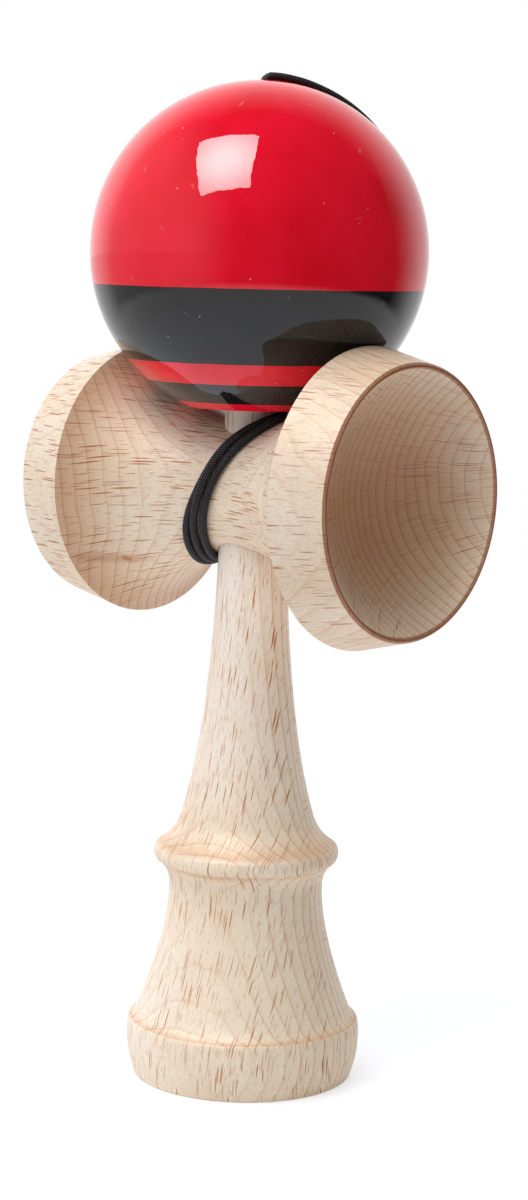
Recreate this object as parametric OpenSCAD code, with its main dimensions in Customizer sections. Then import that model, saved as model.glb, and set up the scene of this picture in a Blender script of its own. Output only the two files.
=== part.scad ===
// Kendama: a turned wooden ken (handle and spike), a two-cup sarado across it, and a lacquered
// ball, the tama, tied on with a braided cord that is wound round the sarado's waist.
// Z runs up the ken's axis, X along the sarado's axis, and the origin is the middle of the base.

/* [Ken] */
// Largest radius of the band round the base
base_r = 21.25; // [19.5:0.05:23]
// Height of the band round the base
base_h = 10.6; // [8:0.1:13]
// Radius of the base band where it meets the flat rim underneath
base_foot_r = 20; // [19:0.05:20.6]
// Radius of the shallow cup under the base, at its rim
base_cup_r = 17.2; // [14:0.1:18]
// Depth of the shallow cup under the base
base_cup_depth = 8.5; // [5:0.1:10]
// Radius of the flare just above the base band
flare_r = 19.7; // [17:0.05:20.2]
// Radius of the waist under the ring
grip_waist_r = 13.95; // [11:0.05:15.5]
// Radius of the ring round the handle
ring_r = 16.8; // [15:0.05:18.5]
// Height of the middle of the ring above the base
ring_z = 41.2; // [37:0.1:46]
// Radius of the stem just above the ring
stem_r = 12; // [10:0.05:13.5]
// Radius of the ken just under the sarado
neck_r = 6.2; // [5.6:0.05:7]
// Radius of the spike where it comes out of the sarado
spike_r = 5.5; // [4.6:0.05:5.6]
// Length of the spike above the sarado
spike_l = 38.4; // [32:0.1:42]
// Radius of the spike where its rounded tip begins
tip_r = 4.6; // [3.5:0.05:5]

/* [Sarado] */
// Height of the sarado's axis above the base
sarado_z = 107.4; // [98:0.1:116]
// Half the length of the sarado
sarado_half_l = 36.4; // [33:0.1:40]
// Radius of the waist at the ken
waist_r = 11.4; // [10:0.05:12.5]
// Rim radius of the big cup
big_rim_r = 24; // [22:0.05:26]
// Radius of the big cup's shoulder, the inner edge of its band
big_shoulder_r = 26.4; // [24:0.05:28]
// Width of the big cup's band
big_band_w = 10.3; // [8:0.1:12]
// Depth of the big cup's bowl
big_bowl_depth = 12; // [8:0.1:14]
// Rim radius of the small cup
small_rim_r = 22.6; // [20:0.05:24]
// Radius of the small cup's shoulder, the inner edge of its band
small_shoulder_r = 24.7; // [23:0.05:26]
// Width of the small cup's band
small_band_w = 10.7; // [8:0.1:12]
// Depth of the small cup's bowl
small_bowl_depth = 11; // [8:0.1:13]
// Width of the lip round each bowl
lip_w = 0.75; // [0.5:0.05:1.5]

/* [Tama] */
// Radius of the ball
tama_r = 30; // [28:0.1:32]
// Radius of the hole that takes the spike
bore_r = 11.2; // [10.5:0.1:12]
// Bevel round the mouth of that hole
bore_bevel = 1; // [0.4:0.1:1.5]
// Radius of the cord hole at the top of the ball
cord_hole_r = 1.8; // [1.2:0.1:2.4]
// Radius of the bead inside the ball
bead_r = 4; // [3:0.1:5]
// Length of the bead along the cord
bead_l = 6.6; // [5:0.1:7.5]

/* [Cord] */
// Diameter of the braided cord
cord_d = 1.3; // [1:0.05:1.4]
// Number of strands that show side by side on the front of the waist
cord_turns = 3; // [2, 3]
// Room between neighbouring strands, along the waist
strand_gap = 0.75; // [0.7:0.05:0.8]

/* [Hidden] */
$fn = 96;

// Clearances: the taper fit, the ball's seat on the sarado, the swivel and the cord on wood
taper_gap = 0.1;
seat_gap = 0.3;
swivel_gap = 0.35;
cord_gap = 0.2;
// Spare room for cuts that pass through a face
past = 1;
// Rounding of the base band's edges, and the barrel's widest place as a share of the band
band_round = 0.6;
barrel_share = 0.7;
// Half the height of the ring's rounded edge, and how far that edge swells and draws in
ring_round = 1.3;
ring_swell = 0.4;
// Heights of the cove under the ring and of the shoulder over it, to where each blends out
cove_h = 6.2;
shoulder_h = 7;
// How far along Z each long curve keeps the direction that it starts or ends with
flare_pull = 9;
cove_pull = 1.6;
shoulder_pull = 2.1;
stem_pull = 16;
// Swell of the stem's curve beside its two ends
stem_swell = 1;
// Height of the spike's rounded tip, and its bluntness as a share of its radius
tip_h = 9;
tip_blunt = 0.9;
// Bevel of the sarado's rims and shoulders
rim_bevel = 0.4;
shoulder_bevel = 0.1;
// Bevel round the holes where the cord comes out, and the room round the cord inside them
mouth_bevel = 1;
cord_room = 0.85;
// How far the stopper knot sits below the ken's surface
pocket_sink = 0.4;
// Colours of the pale beech, the lacquer and the cord
beech = "#e3c6a6";
lacquer = "#c8102e";
bead_wood = "#d2a878";
cord_black = "#1b1b1d";

// Heights along the ken
neck_z = sarado_z - waist_r - past;
collar_z = sarado_z + waist_r + past;
ken_h = collar_z + spike_l;
// The taper inside the sarado, as a radius at a height
function taper_r(z) = neck_r + (spike_r - neck_r) * (z - neck_z) / (collar_z - neck_z);

// The sarado's saddle: one arc on each side, level at the waist and ending at a shoulder
big_shoulder_x = sarado_half_l - big_band_w;
small_shoulder_x = sarado_half_l - small_band_w;
function saddle_arc_r(x, rise) = (x * x + rise * rise) / (2 * rise);
big_saddle_r = saddle_arc_r(big_shoulder_x, big_shoulder_r - waist_r);
small_saddle_r = saddle_arc_r(small_shoulder_x, small_shoulder_r - waist_r);
function saddle_side(x) = x > 0 ? big_saddle_r : small_saddle_r;
function saddle_r(x) = waist_r + saddle_side(x) - sqrt(saddle_side(x) ^ 2 - x * x);

// The ball drops until it meets the waist or a shoulder
seat_r = tama_r + seat_gap;
function perch(x, r) = r + sqrt(max(0, seat_r ^ 2 - x * x));
tama_z = sarado_z + max(waist_r + seat_r,
                        perch(big_shoulder_x, big_shoulder_r),
                        perch(small_shoulder_x, small_shoulder_r));

// Inside the ball, from the spike's tip up: room, knot, bead, ceiling, cord hole
cord_r = cord_d / 2;
knot_r = 3 * cord_r;
knot_h = 4 * cord_r;
tip_gap = 1.6;
bore_top_z = ken_h + tip_gap / 2;
knot_z = ken_h + tip_gap + knot_h / 2;
bead_z = knot_z + knot_h / 2 + cord_gap + bead_l / 2;
bead_hole_r = cord_r + cord_gap;
chamber_r = bead_r + swivel_gap;
chamber_top_z = bead_z + bead_l / 2 + swivel_gap;

// Where the cord is anchored: a cross hole in the ken and one hole at the sarado's back
cross_hole_r = cord_r + cord_room;
pocket_r = knot_r + cord_gap;
pocket_depth = cord_gap + knot_h + pocket_sink;
anchor_seat_y = -taper_r(sarado_z) + pocket_depth;
anchor_knot_y = anchor_seat_y - cord_gap - knot_h / 2;

// Small curve tools: a quadratic curve, a unit vector and a smooth line through points
function curve_at(a, b, c, t) = (1 - t) ^ 2 * a + 2 * t * (1 - t) * b + t ^ 2 * c;
function curve(a, b, c, n) = [for (i = [0:n]) curve_at(a, b, c, i / n)];
function unit(v) = v / norm(v);
function spline_at(a, b, c, d, t) =
    b + t / 2 * (c - a + t * (2 * a - 5 * b + 4 * c - d + t * (3 * (b - c) + d - a)));
function spline(p, n) = [
    for (i = [1:len(p) - 3], k = [0:n - 1]) spline_at(p[i - 1], p[i], p[i + 1], p[i + 2], k / n),
    p[len(p) - 2]
];

// The winding: x across the waist at an angle round it, level at the front and tilted so that
// the strands pass the spike on the big cup's side and the neck on the small cup's side.
// A turn starts at the back and passes over the top after a quarter of it, and the lanes say
// where along X the first turn lies, so that the strand nearest to the ken still clears it.
cord_lane = cord_d + strand_gap;
ken_room = 0.4;
front_x = -1.2;
top_share = 0.25;
under_share = 0.75;
lane_top = spike_r + cord_r + cord_gap + ken_room + cord_lane * (cord_turns - 1 + top_share);
lane_under = -(neck_r + cord_r + cord_gap + ken_room) + cord_lane * under_share;
lane_front = front_x + cord_lane * cord_turns / 2;
lane_back = 0;
lane_mid = (lane_top + lane_under + lane_front + lane_back) / 4;
lane_square = (lane_front + lane_back - lane_top - lane_under) / 4;
lane_lean = (lane_front - lane_back) / 2;
lane_tilt = (lane_top - lane_under) / 2;
lane_swell = 0.3;
tilt_share = 0.7;
loop_steps = 24;
function tilt(a) = sin(a) * (tilt_share + (1 - tilt_share) * sin(a) ^ 6);
function wind_angle(t) = 180 - 360 * t;
function wind_x(a, t) = lane_mid + lane_lean * cos(a) + lane_square * cos(2 * a) + lane_tilt * tilt(a)
    - (cord_lane + lane_swell * sin(2 * a) ^ 2) * t;
function lie_r(x) = saddle_r(x) + (cord_r + cord_gap) / sqrt(1 - (x / saddle_side(x)) ^ 2);
function wind_at(x, a) = [x, -lie_r(x) * cos(a), sarado_z + lie_r(x) * sin(a)];
function wind(t) = wind_at(wind_x(wind_angle(t), t), wind_angle(t));

// The cord leaves the anchor straight, bends at twice its diameter and joins the winding
bend_r = 2 * cord_d;
bend_steps = 5;
bend_turn = 80;
bend_y = waist_r + cord_gap + cord_r - bend_r;
anchor_end_y = bend_y - cord_d;
wind_first = 2;
wind_last = cord_turns * loop_steps - 2;
lead_dir = unit([wind(1 / loop_steps)[0], 0, wind(1 / loop_steps)[2] - sarado_z]);
function bend_out(a) = [0, bend_y, sarado_z] + bend_r * ((1 - cos(a)) * lead_dir + [0, sin(a), 0]);
wind_end = wind(wind_last / loop_steps);
wind_end_dir = unit(wind_end - wind((wind_last - 0.01) / loop_steps));
wind_points = concat(
    [[0, anchor_end_y, sarado_z]],
    [for (i = [0:bend_steps]) bend_out(i * bend_turn / bend_steps)],
    [for (k = [wind_first:wind_last]) wind(k / loop_steps)],
    [wind_end + cord_d * wind_end_dir]
);

// The free run: straight to the back of the ball, then over it to the hole at the top. Each
// point on the ball is an angle down from the top and an angle round from X.
run_over = [[116, 83], [106, 80], [96, 77], [86, 73.5], [76, 70], [66, 67], [56, 64.5], [46, 62.5],
            [36, 61.5], [26, 61], [16, 60.5], [8, 60]];
run_straight = 7;
lie_ball_r = tama_r + seat_gap + cord_r;
function on_ball(p, r) = [0, 0, tama_z] + r * [sin(p[0]) * cos(p[1]), sin(p[0]) * sin(p[1]), cos(p[0])];
run_start = wind_end + cord_d * wind_end_dir;
run_lead = run_start + cord_d * wind_end_dir;
run_touch = on_ball(run_over[0], lie_ball_r);
run_knots = concat(
    [run_start],
    [for (i = [0:run_straight - 1]) run_lead + (run_touch - run_lead) * i / run_straight],
    [for (p = run_over) on_ball(p, lie_ball_r)]
);
dip_turn = run_over[len(run_over) - 1][1];
dip_dir = [cos(dip_turn), sin(dip_turn), 0];
dip_z = tama_z + lie_ball_r - bend_r;
run_end_z = dip_z - cord_d;
function dip(a) = [0, 0, dip_z] + bend_r * ((1 - sin(a)) * dip_dir + [0, 0, cos(a)]);
run_points = concat(
    [run_start],
    spline(concat(run_knots, [dip(0)]), 2),
    [for (i = [0:bend_steps]) dip(i * 90 / bend_steps)],
    [[0, 0, run_end_z]]
);

// Least gap of the winding to itself: each point against the stretches a third of a loop away
function seg_gap(p, a, b) = let (d = b - a, t = max(0, min(1, (p - a) * d / (d * d)))) norm(p - a - t * d);
wind_gap = min([
    for (i = [0:len(wind_points) - 1], j = [0:len(wind_points) - 2])
        if (abs(i - j) > loop_steps / 3) seg_gap(wind_points[i], wind_points[j], wind_points[j + 1])
]) - cord_d;
echo(least_gap_between_strands_mm = wind_gap);
function steps_along(p) = [for (i = [1:len(p) - 1]) norm(p[i] - p[i - 1])];
function path_length(p) = steps_along(p) * [for (step = steps_along(p)) 1];
echo(winding_length_mm = path_length(wind_points), run_length_mm = path_length(run_points));

// A round tube swept along points, with its rings square to the line and its ends closed
module tube(points, sides) {
    n = len(points);
    function along(i) = unit(points[min(i + 1, n - 1)] - points[max(i - 1, 0)]);
    function side_dir(t) = unit([1, 0, 0] - t[0] * t);
    function spoke(u, v, a) = cord_r * (cos(a) * u + sin(a) * v);
    rings = [
        for (i = [0:n - 1])
            let (t = along(i), u = side_dir(t))
                for (k = [0:sides - 1]) points[i] + spoke(u, cross(t, u), 360 * k / sides)
    ];
    walls = [
        for (i = [0:n - 2], k = [0:sides - 1])
            let (a = i * sides + k, b = i * sides + (k + 1) % sides)
                each [[a, a + sides, b], [b, a + sides, b + sides]]
    ];
    lids = [
        for (k = [1:sides - 2])
            each [[0, k, k + 1], [(n - 1) * sides, (n - 1) * sides + k + 1, (n - 1) * sides + k]]
    ];
    polyhedron(rings, concat(walls, lids));
}

// A stopper knot: two rings of cord round its own end, its middle at the origin along Z
module knot() {
    for (s = [-1, 1])
        translate([0, 0, s * cord_r])
            rotate_extrude()
                translate([knot_r - cord_r, 0])
                    circle(cord_r);
    cylinder(h = knot_h, r = knot_r - cord_r, center = true);
}

// Outline of the handle from the flat rim under the base up to the tip of the spike
module ken_outline() {
    rim = [base_foot_r - band_round, 0];
    foot = [base_foot_r, band_round];
    barrel = [base_r, barrel_share * base_h];
    ledge = [base_r - band_round, base_h];
    flare = [flare_r, base_h + past];
    cove = [grip_waist_r, ring_z - cove_h];
    ring_low = [ring_r - ring_swell, ring_z - ring_round];
    ring_high = [ring_r - ring_swell, ring_z + ring_round];
    shoulder = [stem_r, ring_z + shoulder_h];
    neck = [neck_r, neck_z];
    tip = [tip_r, ken_h - tip_h];
    polygon(concat(
        [[0, 0]],
        curve(rim, [base_foot_r, 0], foot, 4),
        curve(foot, [base_r, barrel[1] / 2], barrel, 8),
        curve(barrel, [base_r, base_h], ledge, 8),
        curve(flare, cove - [0, flare_pull], cove, 14),
        curve(cove, [cove[0], ring_low[1] - cove_pull], ring_low, 8),
        curve(ring_low, [ring_r + ring_swell, ring_z], ring_high, 8),
        curve(ring_high, [stem_r + stem_swell, ring_high[1] + shoulder_pull], shoulder, 8),
        curve(shoulder, [neck_r + stem_swell, shoulder[1] + stem_pull], neck, 18),
        [[spike_r, collar_z]],
        curve(tip, [tip_blunt * tip_r, ken_h], [0, ken_h], 10)
    ));
}

// The ken: handle, ring, base band with its cup, the taper that holds the sarado, and the spike
module ken() {
    cup_ball_r = (base_cup_r ^ 2 + base_cup_depth ^ 2) / (2 * base_cup_depth);
    color(beech)
        difference() {
            rotate_extrude()
                ken_outline();
            translate([0, 0, base_cup_depth - cup_ball_r])
                sphere(cup_ball_r);
            translate([0, 0, sarado_z])
                rotate([90, 0, 0])
                    cylinder(h = 3 * neck_r, r = cross_hole_r, center = true);
            translate([0, anchor_seat_y, sarado_z])
                rotate([90, 0, 0])
                    cylinder(h = 2 * neck_r, r = pocket_r);
        }
}

// Outline of the sarado from one rim to the other, as radius and place along its axis
module sarado_outline() {
    steps = 18;
    function saddle(x) = [saddle_r(x), x];
    function cup_edge(side, rim_r, shoulder_r, shoulder_x) = [
        [shoulder_r - shoulder_bevel, side * (shoulder_x + rim_bevel)],
        [rim_r, side * (sarado_half_l - rim_bevel)],
        [rim_r - rim_bevel, side * sarado_half_l],
        [0, side * sarado_half_l]
    ];
    polygon(concat(
        [for (i = [0:steps]) saddle(-small_shoulder_x * (1 - i / steps))],
        [for (i = [1:steps]) saddle(big_shoulder_x * i / steps)],
        cup_edge(1, big_rim_r, big_shoulder_r, big_shoulder_x),
        [for (p = [3:-1:0]) cup_edge(-1, small_rim_r, small_shoulder_r, small_shoulder_x)[p]]
    ));
}

// A ball-shaped bowl at the end of the sarado, side 1 for the big cup and -1 for the small one
module bowl(side, mouth_r, depth) {
    ball_r = (mouth_r ^ 2 + depth ^ 2) / (2 * depth);
    translate([side * (sarado_half_l - depth + ball_r), 0, 0])
        sphere(ball_r);
}

// The sarado: two cups back to back, a tapered bore for the ken and a cord hole at the back
module sarado() {
    color(beech)
        translate([0, 0, sarado_z])
            difference() {
                rotate([0, 90, 0])
                    rotate_extrude()
                        sarado_outline();
                bowl(1, big_rim_r - lip_w, big_bowl_depth);
                bowl(-1, small_rim_r - lip_w, small_bowl_depth);
                translate([0, 0, neck_z - sarado_z])
                    cylinder(h = collar_z - neck_z, r1 = neck_r + taper_gap, r2 = spike_r + taper_gap);
                rotate([-90, 0, 0])
                    cylinder(h = 2 * waist_r, r = cross_hole_r);
                translate([0, waist_r - mouth_bevel, 0])
                    rotate([-90, 0, 0])
                        cylinder(h = 2 * mouth_bevel, r1 = cross_hole_r, r2 = cross_hole_r + 2 * mouth_bevel);
            }
}

// The ball: a bevelled hole for the spike, a chamber for the bead and a cord hole at the top
module tama() {
    mouth_r = bore_r + bore_bevel;
    mouth_z = tama_z - sqrt(tama_r ^ 2 - mouth_r ^ 2);
    top_z = tama_z + tama_r;
    color(lacquer)
        difference() {
            translate([0, 0, tama_z])
                sphere(tama_r);
            translate([0, 0, tama_z - tama_r - past])
                cylinder(h = bore_top_z - tama_z + tama_r + past, r = bore_r);
            translate([0, 0, mouth_z - past])
                cylinder(h = bore_bevel + past, r1 = mouth_r + past, r2 = bore_r);
            cylinder(h = chamber_top_z, r = chamber_r);
            cylinder(h = top_z + past, r = cord_hole_r);
            translate([0, 0, top_z - mouth_bevel])
                cylinder(h = 2 * mouth_bevel, r1 = cord_hole_r, r2 = cord_hole_r + 2 * mouth_bevel);
        }
}

// The wooden bead that the ball hangs on and turns round
module bead() {
    color(bead_wood)
        translate([0, 0, bead_z])
            difference() {
                intersection() {
                    sphere(bead_r);
                    cylinder(h = bead_l, r = bead_r + past, center = true);
                }
                cylinder(h = bead_l + 2 * past, r = bead_hole_r, center = true);
            }
}

// The cord inside the ken and the sarado, with its stopper knot in the ken's pocket
module string_anchor() {
    color(cord_black)
        translate([0, 0, sarado_z])
            rotate([-90, 0, 0]) {
                translate([0, 0, anchor_knot_y])
                    knot();
                translate([0, 0, anchor_knot_y])
                    cylinder(h = anchor_end_y - anchor_knot_y, r = cord_r);
            }
}

// The turns round the sarado's waist, as one cord from the hole at the back
module string_winding() {
    color(cord_black)
        tube(wind_points, 6);
}

// The cord from the winding up the back of the ball to the hole at its top
module string_run() {
    color(cord_black)
        tube(run_points, 8);
}

// The cord inside the ball, through the bead to its stopper knot
module string_end() {
    color(cord_black) {
        translate([0, 0, knot_z])
            cylinder(h = run_end_z - knot_z, r = cord_r);
        translate([0, 0, knot_z])
            knot();
    }
}

ken();
sarado();
tama();
bead();
string_anchor();
string_winding();
string_run();
string_end();
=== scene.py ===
"""Looks of a kendama: beech ken and sarado, a lacquered ball and a braided cord, on a white stage."""

import math

import bpy
import numpy as np
from mathutils import Matrix, Vector


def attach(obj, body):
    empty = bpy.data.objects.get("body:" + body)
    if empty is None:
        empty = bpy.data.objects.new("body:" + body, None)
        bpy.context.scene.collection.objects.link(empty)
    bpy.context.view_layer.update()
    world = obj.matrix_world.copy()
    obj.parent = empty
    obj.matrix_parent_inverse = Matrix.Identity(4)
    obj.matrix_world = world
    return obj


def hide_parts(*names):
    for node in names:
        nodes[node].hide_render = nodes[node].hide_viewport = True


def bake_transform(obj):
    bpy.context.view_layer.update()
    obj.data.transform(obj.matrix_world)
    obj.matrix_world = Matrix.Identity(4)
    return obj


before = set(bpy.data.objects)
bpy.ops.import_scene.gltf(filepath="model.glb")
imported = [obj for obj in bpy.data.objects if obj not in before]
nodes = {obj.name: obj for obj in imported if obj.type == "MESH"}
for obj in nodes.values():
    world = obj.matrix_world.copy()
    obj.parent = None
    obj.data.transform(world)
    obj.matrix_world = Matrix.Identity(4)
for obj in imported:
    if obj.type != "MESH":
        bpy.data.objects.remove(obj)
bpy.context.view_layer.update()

MM = 0.001

# Sizes of the solids that the cord and the colours follow, in millimetres
SARADO_Z = 107.4
SARADO_HALF = 36.4
WAIST_R = 11.4
BIG_SHOULDER = (26.1, 26.4)
SMALL_SHOULDER = (25.7, 24.7)
NECK_R = 6.2
SPIKE_R = 5.5
TAMA_Z = 149.19
TAMA_R = 30.0

# The cord as it lies: its thickness, the room to the wood and the turns round the waist
CORD_D = 1.45
CORD_R = CORD_D / 2
CORD_GAP = 0.12
CORD_TURNS = 3
CORD_LANE = 1.56
KNOT_Z = 161.1
RUN_END_Z = 176.24
ANCHOR_KNOT_Y = -4.15
# Its way round the waist: spare room at the spike and the neck, its place in front, the part of a turn
# that ends under the waist, how far the lanes widen, and how much of the tilt gathers at top and bottom
PASS_ROOM = 0.3
FRONT_X = -1.2
UNDER_AT = 0.75
LANE_SPREAD = 0.3
STEEP_SHARE = 0.3
STEEPNESS = 6
# Where the turns lie unevenly: the place in turns, its reach in turns, the shift along X and the lift
SETTLE = [(0.44, 0.08, -0.42, 0.0), (1.44, 0.14, 0.0, 1.1), (2.44, 0.08, 0.42, 0.0)]


def unit(v):
    """The vector at length one."""
    return v / np.linalg.norm(v)


def saddle_radius(x):
    """Radius of the saddle at a place along the sarado's axis, and of the arc that it follows."""
    reach, shoulder_r = BIG_SHOULDER if x > 0 else SMALL_SHOULDER
    rise = shoulder_r - WAIST_R
    arc = (reach * reach + rise * rise) / (2 * rise)
    return WAIST_R + arc - math.sqrt(arc * arc - x * x), arc


def wind_point(turn):
    """Centre of the cord after that many turns, counted from the back of the waist."""
    top = SPIKE_R + CORD_R + CORD_GAP + PASS_ROOM + CORD_LANE * (CORD_TURNS - UNDER_AT)
    under = -NECK_R - CORD_R - CORD_GAP - PASS_ROOM + CORD_LANE * UNDER_AT
    front = FRONT_X + CORD_LANE * CORD_TURNS / 2
    mid = (top + under + front) / 4
    square = (front - top - under) / 4
    a = math.pi - math.tau * turn
    tilt = math.sin(a) * (1 - STEEP_SHARE + STEEP_SHARE * math.sin(a) ** STEEPNESS)
    lane = CORD_LANE + LANE_SPREAD * math.sin(2 * a) ** 2
    x = mid + front / 2 * math.cos(a) + square * math.cos(2 * a)
    x += (top - under) / 2 * tilt - lane * turn
    lift = 0.0
    for place, reach, shift, rise in SETTLE:
        swell = math.exp(-((turn - place) / reach) ** 2)
        x += shift * swell
        lift += rise * swell
    r, arc = saddle_radius(x)
    r += (CORD_R + CORD_GAP) / math.sqrt(1 - (x / arc) ** 2) + lift
    return np.array([x, -r * math.cos(a), SARADO_Z + r * math.sin(a)])


# Fine points between two points of a route
BETWEEN_POINTS = 24


def smooth_line(points, step):
    """A smooth line through the points, with a point at every step along it."""
    p = np.array(points, float)
    p = np.vstack([2 * p[0] - p[1], p, 2 * p[-1] - p[-2]])
    fine = []
    for a, b, c, d in zip(p, p[1:], p[2:], p[3:]):
        for t in np.linspace(0, 1, BETWEEN_POINTS, endpoint=False):
            bend = 2 * a - 5 * b + 4 * c - d + t * (3 * (b - c) + d - a)
            fine.append(b + t / 2 * (c - a + t * bend))
    fine = np.array(fine + [p[-2]])
    s = np.r_[0, np.cumsum(np.linalg.norm(np.diff(fine, axis=0), axis=1))]
    even = np.linspace(0, s[-1], max(2, round(s[-1] / step)))
    return np.stack([np.interp(even, s, fine[:, k]) for k in range(3)], axis=1)


# Points in a turn, and the bend out of the sarado's back: its radius, its middle, its degrees and points
LOOP_STEPS = 24
BEND_R = 2 * CORD_D
BEND_Y = WAIST_R + CORD_GAP + CORD_R - BEND_R
BEND_DEGREES = 80
BEND_POINTS = 6
# The straight stretch from the knot in the ken to that bend, along Y, and the ends of the winding in steps
STRAIGHT_Y = (ANCHOR_KNOT_Y, 0, 4, BEND_Y - CORD_D)
FIRST_STEP = 2
LAST_STEP = CORD_TURNS * LOOP_STEPS - 2


def wound_route():
    """From the knot in the ken, out at the back of the sarado and round its waist."""
    lead = wind_point(1 / LOOP_STEPS)
    lead = unit(np.array([lead[0], 0, lead[2] - SARADO_Z]))
    route = [np.array([0, y, SARADO_Z]) for y in STRAIGHT_Y]
    for a in np.radians(np.linspace(0, BEND_DEGREES, BEND_POINTS)):
        out = np.array([0, BEND_Y + BEND_R * math.sin(a), SARADO_Z])
        route.append(out + BEND_R * (1 - math.cos(a)) * lead)
    return route + [wind_point(k / LOOP_STEPS) for k in range(FIRST_STEP, LAST_STEP + 1)]


# The cord over the ball: degrees down from the top and degrees round from X
RUN_OVER = [(116, 83), (106, 80), (96, 77), (86, 73.5), (76, 70), (66, 67), (56, 64.5), (46, 62.5),
            (36, 61.5), (26, 61), (16, 60.5), (8, 60)]
BALL_GAP = 0.1
LIE_BALL_R = TAMA_R + BALL_GAP + CORD_R
# The bend into the ball's hole, the straight start off the winding in thicknesses, and the free stretch
DIP_R = 1.7
DIP_SINK = 0.12
STRAIGHT_START = 1.5
FREE_PARTS = 7
TINY_STEP = 0.01


def on_ball(down, around):
    """A point on the sphere that the cord's centre follows over the ball."""
    d, a = math.radians(down), math.radians(around)
    return np.array([0, 0, TAMA_Z]) + LIE_BALL_R * np.array(
        [math.sin(d) * math.cos(a), math.sin(d) * math.sin(a), math.cos(d)])


def run_route():
    """From the winding's end up the back of the ball and into the hole at its top."""
    start = wind_point(LAST_STEP / LOOP_STEPS)
    before = wind_point((LAST_STEP - TINY_STEP) / LOOP_STEPS)
    leave = start + STRAIGHT_START * CORD_D * unit(start - before)
    touch = on_ball(*RUN_OVER[0])
    route = [start, leave] + [leave + (touch - leave) * k / FREE_PARTS for k in range(1, FREE_PARTS)]
    route += [on_ball(*p) for p in RUN_OVER]
    turn = math.radians(RUN_OVER[-1][1])
    dip_z = TAMA_Z + LIE_BALL_R - DIP_R - DIP_SINK
    for a in np.radians(np.linspace(0, 90, BEND_POINTS)):
        reach = DIP_R * (1 - math.sin(a))
        z = dip_z + DIP_R * math.cos(a)
        route.append(np.array([reach * math.cos(turn), reach * math.sin(turn), z]))
    return route + [np.array([0, 0, RUN_END_Z])]


# Braid of the cord: yarns each way round it, length of one yarn's turn, relief, the mesh's fineness, and
# a direction that no stretch of cord starts in
YARNS = 6
YARN_TURN = 3.2
RELIEF = 0.15
SIDES = 36
RING_STEP = 0.1
ASIDE = (0.3, 0.5, 0.8)


def pillow(phase):
    """Height across one yarn, from 0 at its edges to 1 at its middle."""
    return np.sqrt(np.clip(1 - (2 * (phase % 1) - 1) ** 2, 0, 1))


def braid(name, route, phase=0.0):
    """A closed tube of braided cord along a route in millimetres; returns it and its centreline in metres."""
    line = smooth_line(route, RING_STEP)
    along = np.gradient(line, axis=0)
    along /= np.linalg.norm(along, axis=1)[:, None]
    side = [unit(np.cross(along[0], ASIDE))]
    for t in along[1:]:
        side.append(unit(side[-1] - (side[-1] @ t) * t))
    side = np.array(side)
    over = np.cross(along, side)
    s = np.r_[0, np.cumsum(np.linalg.norm(np.diff(line, axis=0), axis=1))][:, None]
    turn = (np.arange(SIDES) / SIDES)[None, :]
    left = pillow(YARNS * (turn + s / YARN_TURN) + phase)
    right = pillow(YARNS * (turn - s / YARN_TURN) + phase)
    height = np.sqrt(left * right)
    radius = CORD_R - RELIEF * (1 - height)
    angle = math.tau * turn
    rings = (line[:, None] + radius[..., None] * (np.cos(angle)[..., None] * side[:, None]
                                                 + np.sin(angle)[..., None] * over[:, None]))
    n = len(line)
    start = np.arange(n - 1)[:, None] * SIDES
    k = np.arange(SIDES)[None, :]
    k2 = (k + 1) % SIDES
    walls = np.stack([start + k, start + k2, start + SIDES + k2, start + SIDES + k], -1).reshape(-1, 4)
    faces = walls.tolist() + [list(range(SIDES))[::-1], list(range((n - 1) * SIDES, n * SIDES))]
    mesh = bpy.data.meshes.new(name)
    mesh.from_pydata((rings.reshape(-1, 3) * MM).tolist(), [], faces)
    heights = mesh.attributes.new("braid", "FLOAT", "POINT")
    heights.data.foreach_set("value", height.astype(np.float32).ravel())
    mesh.shade_smooth()
    piece = bpy.data.objects.new(name, mesh)
    bpy.context.scene.collection.objects.link(piece)
    return piece, line * MM


# A stopper knot: its loops, the points in a loop and its radius
KNOT_LOOPS = 2
KNOT_STEPS = 12
KNOT_R = 1.25


def knot_route(place, axis):
    """Two close loops of cord round its own end."""
    axis = np.array(axis, float)
    u = np.array([1.0, 0, 0])
    v = np.cross(axis, u)
    route = []
    for k in range(KNOT_LOOPS * KNOT_STEPS + 1):
        a = math.tau * k / KNOT_STEPS
        rise = (k / KNOT_STEPS - KNOT_LOOPS / 2) * CORD_R
        route.append(np.array(place) + KNOT_R * (math.cos(a) * u + math.sin(a) * v) + rise * axis)
    return route


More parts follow.
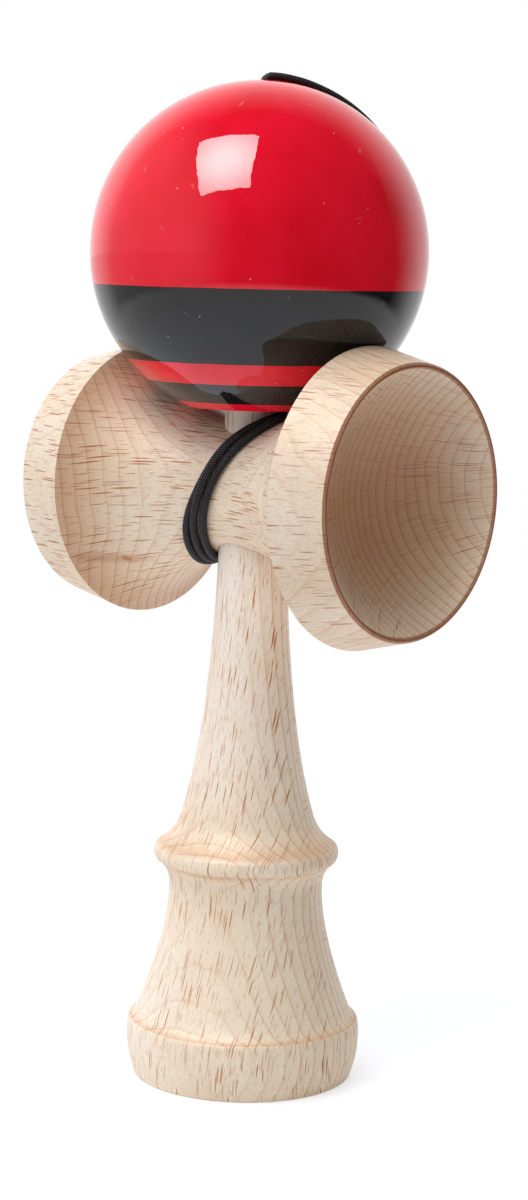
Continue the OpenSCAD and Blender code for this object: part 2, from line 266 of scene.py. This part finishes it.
class Graph:
    """Short calls for a node tree: each adds a node and returns its output socket."""

    def __init__(self, tree):
        self.tree = tree
        tree.nodes.clear()

    def add(self, kind, inputs=None, output=0, **settings):
        node = self.tree.nodes.new("ShaderNode" + kind)
        for key, value in settings.items():
            setattr(node, key, value)
        for key, value in (inputs or {}).items():
            if isinstance(value, bpy.types.NodeSocket):
                self.tree.links.new(value, node.inputs[key])
            else:
                node.inputs[key].default_value = value
        return node.outputs[output] if node.outputs else None

    def math(self, operation, a, b=0.0, c=0.0):
        return self.add("Math", {0: a, 1: b, 2: c}, operation=operation)

    def split(self, vector):
        node = self.add("SeparateXYZ", {0: vector}).node
        return node.outputs[0], node.outputs[1], node.outputs[2]

    def join(self, x, y, z):
        return self.add("CombineXYZ", {0: x, 1: y, 2: z})

    def step(self, value, low, high, to_low=0.0, to_high=1.0):
        """A smooth step of the value from low to high."""
        return self.add("MapRange", {"Value": value, "From Min": low, "From Max": high, "To Min": to_low,
                                     "To Max": to_high}, interpolation_type="SMOOTHSTEP")

    def mix(self, share, a, b, how="MIX"):
        return self.add("Mix", {0: share, 6: a, 7: b}, output=2, data_type="RGBA", blend_type=how)

    def noise(self, vector, scale, detail=2.0, output=0):
        return self.add("TexNoise", {"Vector": vector, "Scale": scale, "Detail": detail}, output=output)


def colour(r, g, b):
    """A colour given as the screen shows it, 0 to 255, for a shader."""
    def linear(c):
        c /= 255
        return c / 12.92 if c <= 0.04045 else ((c + 0.055) / 1.055) ** 2.4
    return (linear(r), linear(g), linear(b), 1.0)


def new_material(name):
    """A material and the graph of its nodes."""
    material = bpy.data.materials.new(name)
    material.use_nodes = True
    return material, Graph(material.node_tree)


def surface(graph, inputs):
    """Ends a material in one principled shader with these inputs."""
    shader = graph.add("BsdfPrincipled", inputs)
    graph.add("OutputMaterial", {"Surface": shader})


def millimetres(graph):
    """The object's own coordinates in millimetres."""
    place = graph.add("TexCoord", output="Object")
    return graph.add("VectorMath", {0: place, "Scale": 1 / MM}, operation="SCALE")


# Pale and deep wood of each piece
KEN_TONES = (colour(251, 240, 222), colour(240, 215, 182))
CROSS_TONES = (colour(246, 229, 203), colour(232, 201, 161))
# What rings, rays, cut fibre ends, the lips, the big cup's band and the ken's foot leave of the colour
RING_TINT = (0.80, 0.60, 0.41, 1.0)
RAY_TINT = (0.53, 0.17, 0.0, 1.0)
KEN_END_TINT = (0.79, 0.61, 0.45, 1.0)
CROSS_END_TINT = (0.66, 0.44, 0.31, 1.0)
# The lips' tint is burnish together with painted shade
LIP_BURNISH_AND_SHADE = (0.50, 0.26, 0.15, 1.0)
# The band's tint: a pinker wood, darkened further as painted shade against the lamp's light on it
BAND_PINK_AND_SHADE = (0.90, 0.84, 0.82, 1.0)
FOOT_TINT = (0.97, 0.92, 0.84, 1.0)
# Place of the log's pith, across the piece and behind it, in millimetres
KEN_PITH = (-10.0, 54.0)
CROSS_PITH = (115.0, 62.0)
BEAD_PITH = (12.0, 30.0)
# Waves of the grain: their scale, their stretch along it, and how far they shift the grain and the rings
WAVE_SCALE = 0.04
WAVE_STRETCH = 0.3
WANDER = 5.0
RING_WANDER = 2.5
# Year rings: width in millimetres, start and end of the late wood's line in a year, and strengths
RING_WIDTH = 1.85
LATE_START = (0.78, 0.95)
LATE_END = (1.0, 0.96)
LATE_LINE = 0.6
LATE_SHADE = 0.4
RING_FADE = 0.85
# Rays: cells round the pith, along the grain and outwards in millimetres, and their lenses' sizes in a cell
LONG_RAYS = (0.29, 6.8, 15.0)
LONG_LENS = (0.2, 0.45)
SHORT_RAYS = (0.23, 2.4, 6.0)
SHORT_LENS = (0.18, 0.42)
LENS_EDGE = (1.0, 0.5)
FAINTEST_RAY = 0.3
# Where rays show by how squarely the surface cuts them, how much end grain takes from them, and what it is
RAY_CUT = (0.1, 0.5, 0.2, 1.0)
END_RAY_LOSS = 0.4
END_GRAIN = (0.5, 1.0)
# Streaks: fineness across and along the grain, and detail; then the range that is shown and its strength
FIBRE = (3.6, 0.35, 3.0)
FIBRE_SHADE = (0.35, 0.8, 0.0, 0.5)
PORES = (4.5, 1.4, 1.0)
PORE_SHADE = (0.46, 0.78, 0.0, 0.34)
CLOUD = (0.07, 0.025, 2.0)
CLOUD_SHADE = (0.3, 0.75, 0.0, 0.6)
# Finish of the wood: roughness along the fibre, and the depth of its relief in metres
WOOD_ROUGHNESS = (0.2, 0.8, 0.42, 0.6)
RAY_PIT = 0.2
WOOD_RELIEF = 0.0002
# The big cup's band, by X and by the way that it faces, and how much weaker its rays are; its tint also holds
# painted shade
BAND_FROM = (20.0, 27.0)
BAND_FACING = (0.4, 0.1)
BAND_RAY_LOSS = 0.6
# Heights between which the ken gets deeper in colour below its stem, in millimetres
FOOT_FADE = (62.0, 44.0)
# The lips, burnished and darkened with painted shade: from the end of the cross piece inwards, in millimetres
LIP_INNER = 0.46
LIP_OUTER = 0.30
LIP_SHARE = 0.9
# A pin knot in the small cup's saddle, at its X and Z, in a streak that runs along X on the front
KNOT_AT = (-19.7, 94.2)
KNOT_EDGE = (0.9, 0.35)
STREAK_DRIFT = 3.0
STREAK_EDGE = (1.5, 0.1)
STREAK_START = (-27.0, -23.0)
STREAK_END = (-15.0, -19.5)
STREAK_FRONT = (-5.0, -8.0)
STREAK_DEPTH = 0.55
STREAK_SHARE = 0.75


def rays(graph, around, along, outwards, cell, lens):
    """Rays of the wood, 0 to 1: one lens in each cell, of varied size and strength."""
    place = graph.join(graph.math("DIVIDE", around, cell[0]), graph.math("DIVIDE", along, cell[1]),
                       graph.math("DIVIDE", outwards, cell[2]))
    cells = graph.add("TexVoronoi", {"Vector": place, "Scale": 1.0, "Randomness": 1.0}).node
    luck = graph.split(cells.outputs["Color"])
    size = graph.math("MULTIPLY_ADD", luck[0], lens[1] - lens[0], lens[0])
    share = graph.math("DIVIDE", cells.outputs["Distance"], size)
    strength = graph.math("MULTIPLY_ADD", luck[1], 1 - FAINTEST_RAY, FAINTEST_RAY)
    return graph.math("MULTIPLY", graph.step(share, *LENS_EDGE), strength)


def streaks(graph, across, along, deep, kind):
    """Noise that is drawn out along the grain."""
    fine, drawn, detail = kind
    place = graph.join(graph.math("MULTIPLY", across, fine), graph.math("MULTIPLY", along, drawn),
                       graph.math("MULTIPLY", deep, fine))
    return graph.noise(place, 1.0, detail)


def knot_streak(graph, x, y, z, wave):
    """A brown streak on the front of the saddle that darkens to a pin knot."""
    drift = graph.math("MULTIPLY_ADD", wave, STREAK_DRIFT, -STREAK_DRIFT / 2)
    off = graph.math("ABSOLUTE", graph.math("SUBTRACT", graph.math("ADD", z, drift), KNOT_AT[1]))
    reach = graph.math("MULTIPLY", graph.step(x, *STREAK_START), graph.step(x, *STREAK_END))
    streak = graph.math("MULTIPLY", graph.step(off, *STREAK_EDGE), reach)
    apart = graph.add("VectorMath", {0: graph.join(graph.math("SUBTRACT", x, KNOT_AT[0]), off, 0.0)},
                      operation="LENGTH", output="Value")
    knot = graph.step(apart, *KNOT_EDGE)
    both = graph.math("MAXIMUM", graph.math("MULTIPLY", streak, STREAK_DEPTH), knot)
    return graph.math("MULTIPLY", both, graph.step(y, *STREAK_FRONT))


def beech(name, grain, pith, tones, end_tint, ray_share, lean=0.0, sarado=False):
    """Turned beech cut from a log whose pith runs along the grain, behind the piece, at pith (mm)."""
    material, g = new_material(name)
    x, y, z = g.split(millimetres(g))
    normal = g.split(g.add("TexCoord", output="Normal"))
    if grain == "Z":
        along, side, n_along, n_side = z, x, normal[2], normal[0]
    else:
        along, side, n_along, n_side = x, z, normal[0], normal[2]
    n_along = g.math("ABSOLUTE", n_along)

    # The place in the log: round the pith, along the grain and outwards
    stretched = g.join(g.math("MULTIPLY", along, WAVE_STRETCH), side, y)
    wave = g.split(g.noise(stretched, WAVE_SCALE, output=1))
    side = g.math("ADD", g.math("SUBTRACT", side, pith[0]),
                  g.math("MULTIPLY_ADD", wave[0], WANDER, -WANDER / 2))
    depth = g.math("ADD", g.math("SUBTRACT", pith[1], y),
                   g.math("MULTIPLY_ADD", wave[1], WANDER, -WANDER / 2))
    radius = g.math("SQRT", g.math("ADD", g.math("MULTIPLY", side, side), g.math("MULTIPLY", depth, depth)))
    turned = g.math("MULTIPLY", g.math("ARCTAN2", side, depth), pith[1])
    around = g.math("MULTIPLY_ADD", along, -lean, turned)

    # Rings fade where the surface follows them
    years = g.math("DIVIDE", g.math("MULTIPLY_ADD", wave[2], RING_WANDER, radius), RING_WIDTH)
    year = g.math("FRACT", years)
    line = g.math("MULTIPLY", g.step(year, *LATE_START), g.step(year, *LATE_END))
    late = g.math("MULTIPLY_ADD", line, LATE_LINE, g.math("MULTIPLY", g.math("POWER", year, 2.0), LATE_SHADE))
    outwards = g.math("SUBTRACT", g.math("MULTIPLY", n_side, side), g.math("MULTIPLY", normal[1], depth))
    flat = g.math("ABSOLUTE", g.math("DIVIDE", outwards, radius))
    edge_on = g.math("MULTIPLY_ADD", g.math("MULTIPLY", flat, flat), -RING_FADE, 1.0)
    end_on = g.step(n_along, *END_GRAIN)

    # Rays are dark where they end in the surface and pale where they lie along it
    cut = g.math("MULTIPLY", g.step(flat, *RAY_CUT), g.math("MULTIPLY_ADD", end_on, -END_RAY_LOSS, 1.0))
    long_rays = g.math("MULTIPLY", rays(g, around, along, radius, LONG_RAYS, LONG_LENS), cut)
    short_rays = rays(g, around, along, radius, SHORT_RAYS, SHORT_LENS)

    fibre = streaks(g, around, along, radius, FIBRE)
    pores = streaks(g, around, along, radius, PORES)
    cloud = streaks(g, side, along, depth, CLOUD)
    pale, deep = tones
    tone = g.mix(g.step(cloud, *CLOUD_SHADE), pale, deep)
    tone = g.mix(g.step(fibre, *FIBRE_SHADE), tone, deep)
    tone = g.mix(g.step(pores, *PORE_SHADE), tone, RING_TINT, "MULTIPLY")
    tone = g.mix(end_on, tone, end_tint, "MULTIPLY")
    tone = g.mix(g.math("MULTIPLY", late, edge_on), tone, RING_TINT, "MULTIPLY")
    if sarado:
        # The wood of the big cup's band is pinker and has weaker rays; its tint also darkens it as painted
        # shade
        band = g.math("MULTIPLY", g.step(x, *BAND_FROM), g.step(n_along, *BAND_FACING))
        tone = g.mix(band, tone, BAND_PINK_AND_SHADE, "MULTIPLY")
        weaker = g.math("MULTIPLY_ADD", band, -BAND_RAY_LOSS, 1.0)
        long_rays = g.math("MULTIPLY", long_rays, weaker)
        short_rays = g.math("MULTIPLY", short_rays, weaker)
    else:
        tone = g.mix(g.step(z, *FOOT_FADE), tone, FOOT_TINT, "MULTIPLY")
    tone = g.mix(short_rays, tone, RING_TINT, "MULTIPLY")
    tone = g.mix(g.math("MULTIPLY", long_rays, ray_share), tone, RAY_TINT, "MULTIPLY")
    if sarado:
        streak = g.math("MULTIPLY", knot_streak(g, x, y, z, wave[2]), STREAK_SHARE)
        tone = g.mix(streak, tone, RAY_TINT, "MULTIPLY")
        # The lips' brown is burnish, deepened with painted shade
        lip = g.step(g.math("ABSOLUTE", x), SARADO_HALF - LIP_INNER, SARADO_HALF - LIP_OUTER)
        tone = g.mix(g.math("MULTIPLY", lip, LIP_SHARE), tone, LIP_BURNISH_AND_SHADE, "MULTIPLY")

    pits = g.math("MULTIPLY_ADD", long_rays, -RAY_PIT, fibre)
    bump = g.add("Bump", {"Height": pits, "Strength": 0.07, "Distance": WOOD_RELIEF})
    surface(g, {"Base Color": tone, "Roughness": g.step(fibre, *WOOD_ROUGHNESS), "Normal": bump,
                "Specular IOR Level": 0.5})
    return material


RED = colour(246, 19, 45)
RED_DEEP = colour(232, 11, 34)
BLACK = colour(24, 22, 23)
DUST = colour(225, 215, 205)
# Stripes of the ball, in millimetres up from its middle: black between each pair, with soft, uneven edges
BAND = (-18.99, -6.05)
STRIPE = (-26.15, -22.61)
EDGE = 0.06
WAVER = 0.16
WAVER_SCALE = 0.35
# Clouds of the deeper red, and the fine ripple of the coat in metres
RED_CLOUD_SCALE = 0.08
RED_CLOUD = (0.35, 0.7)
PEEL_SCALE = 0.5
PEEL_RELIEF = 0.0003
# Dust: size of a mote in its cell, the luck that a cell needs to have one, and the strongest mote
SPECKS = {"scale": 0.7, "size": (0.12, 0.05), "needs": (0.86, 0.88), "share": 0.8}
HAIRS = {"scale": 1.0, "size": (0.3, 0.1), "needs": (0.95, 0.97), "share": 0.25}
HAIR_TURN = {"Axis": (0.3, 0.8, 0.5), "Angle": 0.9}
HAIR_DRAWN = (2.2, 0.14, 0.3)


def motes(graph, place, scale, size, needs, share):
    """Scattered dust, 0 to 1: one mote in a few of the cells."""
    cells = graph.add("TexVoronoi", {"Vector": place, "Scale": scale, "Randomness": 1.0}).node
    luck = graph.split(cells.outputs["Color"])
    mote = graph.math("MULTIPLY", graph.step(cells.outputs["Distance"], *size), graph.step(luck[0], *needs))
    return graph.math("MULTIPLY", mote, graph.math("MULTIPLY", luck[1], share))


def lacquer(name):
    """Red gloss lacquer with a black band and a black stripe, and a little dust."""
    material, g = new_material(name)
    place = millimetres(g)
    waver = g.noise(place, WAVER_SCALE)
    height = g.math("MULTIPLY_ADD", waver, WAVER, g.math("SUBTRACT", g.split(place)[2], TAMA_Z + WAVER / 2))

    def between(low, high):
        over = g.step(height, low - EDGE, low + EDGE)
        under = g.step(height, high + EDGE, high - EDGE)
        return g.math("MULTIPLY", over, under)

    black = g.math("MAXIMUM", between(*BAND), between(*STRIPE))
    cloud = g.noise(place, RED_CLOUD_SCALE, 3.0)
    tone = g.mix(black, g.mix(g.step(cloud, *RED_CLOUD), RED, RED_DEEP), BLACK)
    tone = g.mix(motes(g, place, **SPECKS), tone, DUST)
    turned = g.add("VectorRotate", {"Vector": place, **HAIR_TURN})
    drawn = g.add("VectorMath", {0: turned, 1: HAIR_DRAWN}, operation="MULTIPLY")
    tone = g.mix(motes(g, drawn, **HAIRS), tone, DUST)
    ripple = g.noise(place, PEEL_SCALE, 1.0)
    peel = g.add("Bump", {"Height": ripple, "Strength": 0.06, "Distance": PEEL_RELIEF})
    surface(g, {"Base Color": tone, "Roughness": 0.4, "Specular IOR Level": 0.0, "Coat Weight": 1.0,
                "Coat Roughness": 0.015, "Coat IOR": 1.5, "Coat Normal": peel})
    return material


# Painted shade between the yarns, the yarn's own black, and a painted sheen on the crowns that also colours
# the fluff
YARN_GAP_SHADE = colour(5, 4, 5)
YARN = colour(12, 11, 12)
CROWN_SHEEN_AND_FLUFF = colour(122, 117, 119)
# Heights of the braid where a yarn rises out of the painted shade between yarns and where the painted sheen
# on its crown begins, and the loose fluff on it
YARN_EDGE = (0.2, 0.8)
PAINTED_CROWN_SHINE = (0.84, 0.99, 0.0, 0.52)
FLUFF_SCALE = 9.0
FLUFF = (0.64, 0.76, 0.0, 0.5)


def cord_material(name):
    """Black braided nylon, with painted shade between the yarns and a painted sheen on their crowns."""
    material, g = new_material(name)
    crown = g.add("Attribute", output="Fac", attribute_name="braid")
    fluff = g.noise(millimetres(g), FLUFF_SCALE)
    tone = g.mix(g.step(crown, *YARN_EDGE), YARN_GAP_SHADE, YARN)
    tone = g.mix(g.step(crown, *PAINTED_CROWN_SHINE), tone, CROWN_SHEEN_AND_FLUFF)
    tone = g.mix(g.step(fluff, *FLUFF), tone, CROWN_SHEEN_AND_FLUFF)
    surface(g, {"Base Color": tone, "Roughness": 0.6, "Sheen Weight": 0.04, "Sheen Roughness": 0.4,
                "Specular IOR Level": 0.25})
    return material


def give(piece, material):
    """Puts one material on a piece."""
    piece.data.materials.clear()
    piece.data.materials.append(material)


# Points closer than this, in metres, are one for shading, and edges that turn less than this are smooth
SAME_POINT = 2e-6
SMOOTH_DEGREES = 28


def soften(node):
    """Smooth shading over the small steps of a turned outline, with its sharp edges kept."""
    tree = bpy.data.node_groups.new("smooth_turning", "GeometryNodeTree")
    tree.interface.new_socket("Geometry", in_out="INPUT", socket_type="NodeSocketGeometry")
    tree.interface.new_socket("Geometry", in_out="OUTPUT", socket_type="NodeSocketGeometry")
    first = tree.nodes.new("NodeGroupInput")
    last = tree.nodes.new("NodeGroupOutput")
    merge = tree.nodes.new("GeometryNodeMergeByDistance")
    merge.inputs["Distance"].default_value = SAME_POINT
    faces = tree.nodes.new("GeometryNodeSetShadeSmooth")
    edges = tree.nodes.new("GeometryNodeSetShadeSmooth")
    edges.domain = "EDGE"
    turn = tree.nodes.new("GeometryNodeInputMeshEdgeAngle")
    low = tree.nodes.new("FunctionNodeCompare")
    low.operation = "LESS_THAN"
    low.inputs[1].default_value = math.radians(SMOOTH_DEGREES)
    tree.links.new(first.outputs[0], merge.inputs[0])
    tree.links.new(merge.outputs[0], faces.inputs[0])
    tree.links.new(faces.outputs[0], edges.inputs[0])
    tree.links.new(turn.outputs[0], low.inputs[0])
    tree.links.new(low.outputs[0], edges.inputs["Shade Smooth"])
    tree.links.new(edges.outputs[0], last.inputs[0])
    nodes[node].modifiers.new("smooth_turning", "NODES").node_group = tree


# The cord
TAIL_Z = (RUN_END_Z, 172, 168, 164, KNOT_Z)
cord_black = cord_material("cord_black")
wound, wound_line = braid("string_wound", wound_route())
run, run_line = braid("string_over_ball", run_route(), phase=0.3)
tail, _ = braid("string_in_ball", [np.array([0, 0, z]) for z in TAIL_Z])
ken_knot, _ = braid("string_knot_in_ken", knot_route((0, ANCHOR_KNOT_Y, SARADO_Z), (0, 1, 0)))
ball_knot, _ = braid("string_knot_in_ball", knot_route((0, 0, KNOT_Z), (0, 0, 1)))
for piece in (wound, run, tail, ken_knot, ball_knot):
    give(piece, cord_black)
for piece in (wound, ken_knot):
    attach(piece, "handle")
for piece in (tail, ball_knot):
    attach(piece, "swivel")
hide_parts("string_winding", "string_anchor")
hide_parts("string_run")
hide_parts("string_end")
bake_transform(run)

# The wood and the ball
upright = beech("beech_upright", "Z", KEN_PITH, KEN_TONES, KEN_END_TINT, ray_share=1.0, lean=0.06)
across = beech("beech_across", "X", CROSS_PITH, CROSS_TONES, CROSS_END_TINT, ray_share=1.25, sarado=True)
inside = beech("beech_bead", "Z", BEAD_PITH, CROSS_TONES, KEN_END_TINT, ray_share=0.75)
give(nodes["ken"], upright)
give(nodes["sarado"], across)
give(nodes["bead"], inside)
give(nodes["tama"], lacquer("red_lacquer"))
soften("ken")
soften("sarado")


# The stage: a white floor that keeps the object's shadow, and a white surround
TOWARDS_CAMERA = (0.662, -0.75, 0.0)
CAMERA_LEFT = (-0.75, -0.662, 0.0)
BRIGHT_SIDE = (-0.94, -0.34, 0.0)
# The room as mirrors show it, by direction: a white backdrop under a dimmer ceiling, a pale left, a dim front
BACKDROP = (-0.15, -0.75)
CEILING = (0.35, 0.9, 1.0, 0.6)
LEFT_WALL = (0.25, 0.8, 0.06, 0.55)


def grey(value):
    """A grey for a shader."""
    return (value, value, value, 1.0)


def seen(graph):
    """1 for what the camera or a mirror-like surface sees, and 1 for what the camera alone sees."""
    path = graph.add("LightPath").node.outputs
    shine = graph.math("MAXIMUM", path["Is Glossy Ray"], path["Is Transmission Ray"])
    return graph.math("MAXIMUM", path["Is Camera Ray"], shine), path["Is Camera Ray"]


def pointing(graph, way, axis):
    """How far a direction points along an axis."""
    return graph.add("VectorMath", {0: way, 1: axis}, operation="DOT_PRODUCT", output="Value")


def room(graph, way):
    """Brightness of the room in a direction, as mirrors show it."""
    backdrop = graph.step(pointing(graph, way, TOWARDS_CAMERA), *BACKDROP)
    ceiling = graph.step(graph.split(way)[2], *CEILING)
    left = graph.step(pointing(graph, way, CAMERA_LEFT), *LEFT_WALL)
    return graph.math("MAXIMUM", graph.math("MULTIPLY", backdrop, ceiling), left)


# The floor in metres: half its width, where mirrors see it end, and where its shadow fades out
FLOOR_HALF = 6.0
FLOOR_END = (0.35, 0.44)
SHADOW_END = (0.1, 0.3)
# Its greys as light falls on it, past its end, and as the camera sees it near the object, and its own light
FLOOR_GREY = 0.8
FLOOR_DARK = 0.1
FLOOR_SHADE = 0.48
SHADE_GLOW = 0.6
FLOOR_GLOW = 0.1


def floor():
    """A wide pale floor at the height of the base; in mirrors it ends a little before the camera."""
    mesh = bpy.data.meshes.new("floor")
    h = FLOOR_HALF
    mesh.from_pydata([(-h, -h, 0), (h, -h, 0), (h, h, 0), (-h, h, 0)], [], [(0, 1, 2, 3)])
    piece = bpy.data.objects.new("floor", mesh)
    bpy.context.scene.collection.objects.link(piece)
    material, g = new_material("floor_white")
    shown, direct = seen(g)
    place = g.add("NewGeometry", output="Position")
    out = g.add("VectorMath", {0: place}, operation="LENGTH", output="Value")
    distant = room(g, g.add("VectorMath", {0: place}, operation="NORMALIZE"))
    ends = g.math("MULTIPLY", g.step(out, *FLOOR_END), g.math("SUBTRACT", 1.0, distant))
    white = g.math("MAXIMUM", direct, g.math("SUBTRACT", 1.0, ends))
    shade = g.add("BsdfDiffuse", {"Color": grey(FLOOR_SHADE)})
    near = g.add("AddShader", {0: shade, 1: g.add("Emission", {"Strength": SHADE_GLOW})})
    far = g.add("Emission", {"Strength": white})
    clean = g.add("MixShader", {0: g.step(out, *SHADOW_END), 1: near, 2: far})
    matte = g.add("BsdfDiffuse", {"Color": grey(FLOOR_GREY)})
    lifted = g.add("AddShader", {0: matte, 1: g.add("Emission", {"Strength": FLOOR_GLOW})})
    dark = g.add("BsdfDiffuse", {"Color": grey(FLOOR_DARK)})
    bounce = g.add("MixShader", {0: ends, 1: lifted, 2: dark})
    g.add("OutputMaterial", {"Surface": g.add("MixShader", {0: shown, 1: bounce, 2: clean})})
    give(piece, material)


WHITE = grey(1.0)
COOL = (0.88, 1.0, 1.30, 1.0)
# Light of the surround by direction: dim in front and bright behind, more so above, and cool from the left
FRONT_LIGHT = 0.18
BEHIND_LIGHT = 0.9
LEFT_LIGHT = 0.83
BEHIND = (-0.2, -0.9)
RISE = (0.0, 0.9, 0.9, 1.5)
LEFT = (-0.75, 0.75)
LEFT_RISE = (0.0, 0.7, 0.45, 1.1)
# In mirrors the left is a little brighter; the camera itself sees white, so mirrors are taken off there
GLARE = (-0.3, 0.6, 1.0, 1.25)
OFF = -2.0


def surround():
    """White to the camera; as light and in mirrors bright behind the object and dim before it."""
    world = bpy.data.worlds.new("surround")
    bpy.context.scene.world = world
    world.use_nodes = True
    g = Graph(world.node_tree)
    shown, direct = seen(g)
    way = g.add("TexCoord", output="Generated")
    up = g.split(way)[2]
    glare = g.step(pointing(g, way, CAMERA_LEFT), *GLARE)
    mirrored = g.math("MULTIPLY", g.math("MULTIPLY", room(g, way), glare), shown)
    glow = g.math("MAXIMUM", direct, g.math("MULTIPLY_ADD", direct, OFF, mirrored))
    towards = pointing(g, way, TOWARDS_CAMERA)
    base = g.math("MULTIPLY", g.step(towards, *BEHIND, FRONT_LIGHT, FRONT_LIGHT + BEHIND_LIGHT),
                  g.step(up, *RISE))
    left = g.step(pointing(g, way, BRIGHT_SIDE), *LEFT)
    light = g.math("MULTIPLY_ADD", g.math("MULTIPLY", left, LEFT_LIGHT), g.step(up, *LEFT_RISE), base)
    hidden = g.math("SUBTRACT", 1.0, shown)
    strength = g.math("MULTIPLY_ADD", hidden, light, glow)
    tint = g.mix(g.math("MULTIPLY", left, hidden), WHITE, COOL)
    g.add("OutputWorld", {"Surface": g.add("Background", {"Color": tint, "Strength": strength})})


# The softbox: its direction from the ball and the way its width runs; then the lamp, and its shine in
# mirrors, with distance, width and height in metres
SOFTBOX = (0.008, -0.532, 0.849)
SOFTBOX_ACROSS = (0.511, 0.232, 0.135)
LAMP = {"distance": 0.9, "width": 0.52, "height": 0.665}
LAMP_WATTS = 4.3
SHINE = {"distance": 0.88, "width": 0.508, "height": 0.65}
SHINE_STRENGTH = 17.5
SHINE_FADE = (0.05, 0.42)


def aimed(distance):
    """The place of the lamp or its shine at a distance from the ball, facing it."""
    back = Vector(SOFTBOX).normalized()
    x = Vector(SOFTBOX_ACROSS)
    x = (x - x.dot(back) * back).normalized()
    turn = Matrix((x, back.cross(x), back)).transposed().to_4x4()
    return Matrix.Translation(Vector((0, 0, TAMA_Z * MM)) + back * distance) @ turn


def lamp(name, distance, width, height):
    """An area lamp that lights the object and isn't seen in it."""
    data = bpy.data.lights.new(name, "AREA")
    data.shape = "RECTANGLE"
    data.size = width
    data.size_y = height
    data.energy = LAMP_WATTS
    piece = bpy.data.objects.new(name, data)
    bpy.context.scene.collection.objects.link(piece)
    piece.matrix_world = aimed(distance)
    piece.visible_camera = False
    piece.visible_glossy = False


def shine(name, distance, width, height):
    """The lamp's bright cloth as mirrors show it, a little dimmer towards its edges."""
    mesh = bpy.data.meshes.new(name)
    x = width / 2
    y = height / 2
    mesh.from_pydata([(-x, -y, 0), (x, -y, 0), (x, y, 0), (-x, y, 0)], [], [(3, 2, 1, 0)])
    piece = bpy.data.objects.new(name, mesh)
    bpy.context.scene.collection.objects.link(piece)
    piece.matrix_world = aimed(distance)
    material, g = new_material(name)
    place = g.add("TexCoord", output="Object")
    out = g.add("VectorMath", {0: place}, operation="LENGTH", output="Value")
    strength = g.step(out, *SHINE_FADE, SHINE_STRENGTH, SHINE_STRENGTH / 2)
    g.add("OutputMaterial", {"Surface": g.add("Emission", {"Strength": strength})})
    give(piece, material)
    piece.visible_camera = False
    piece.visible_diffuse = False
    piece.visible_shadow = False


# The photograph's view: 528 by 1200 pixels, with the sensor's width on the long side
CAMERA_PLACE = (0.3156, -0.35747, 0.14987)
CAMERA_TARGET = (0.00165, 0.00144, 0.08719)
CAMERA_ROLL = 1.304
SENSOR = 36.0
LENS = 80.19


def camera():
    """The camera at the photograph's place."""
    data = bpy.data.cameras.new("camera")
    data.sensor_width = SENSOR
    data.lens = LENS
    data.clip_start = 0.01
    data.clip_end = 50
    piece = bpy.data.objects.new("camera", data)
    bpy.context.scene.collection.objects.link(piece)
    place = Vector(CAMERA_PLACE)
    look = (Vector(CAMERA_TARGET) - place).to_track_quat("-Z", "Y").to_matrix().to_4x4()
    roll = Matrix.Rotation(math.radians(CAMERA_ROLL), 4, "Z")
    piece.matrix_world = Matrix.Translation(place) @ look @ roll
    bpy.context.scene.camera = piece


floor()
surround()
lamp("softbox", **LAMP)
shine("softbox_shine", **SHINE)
camera()
bpy.context.scene.view_settings.view_transform = "Standard"
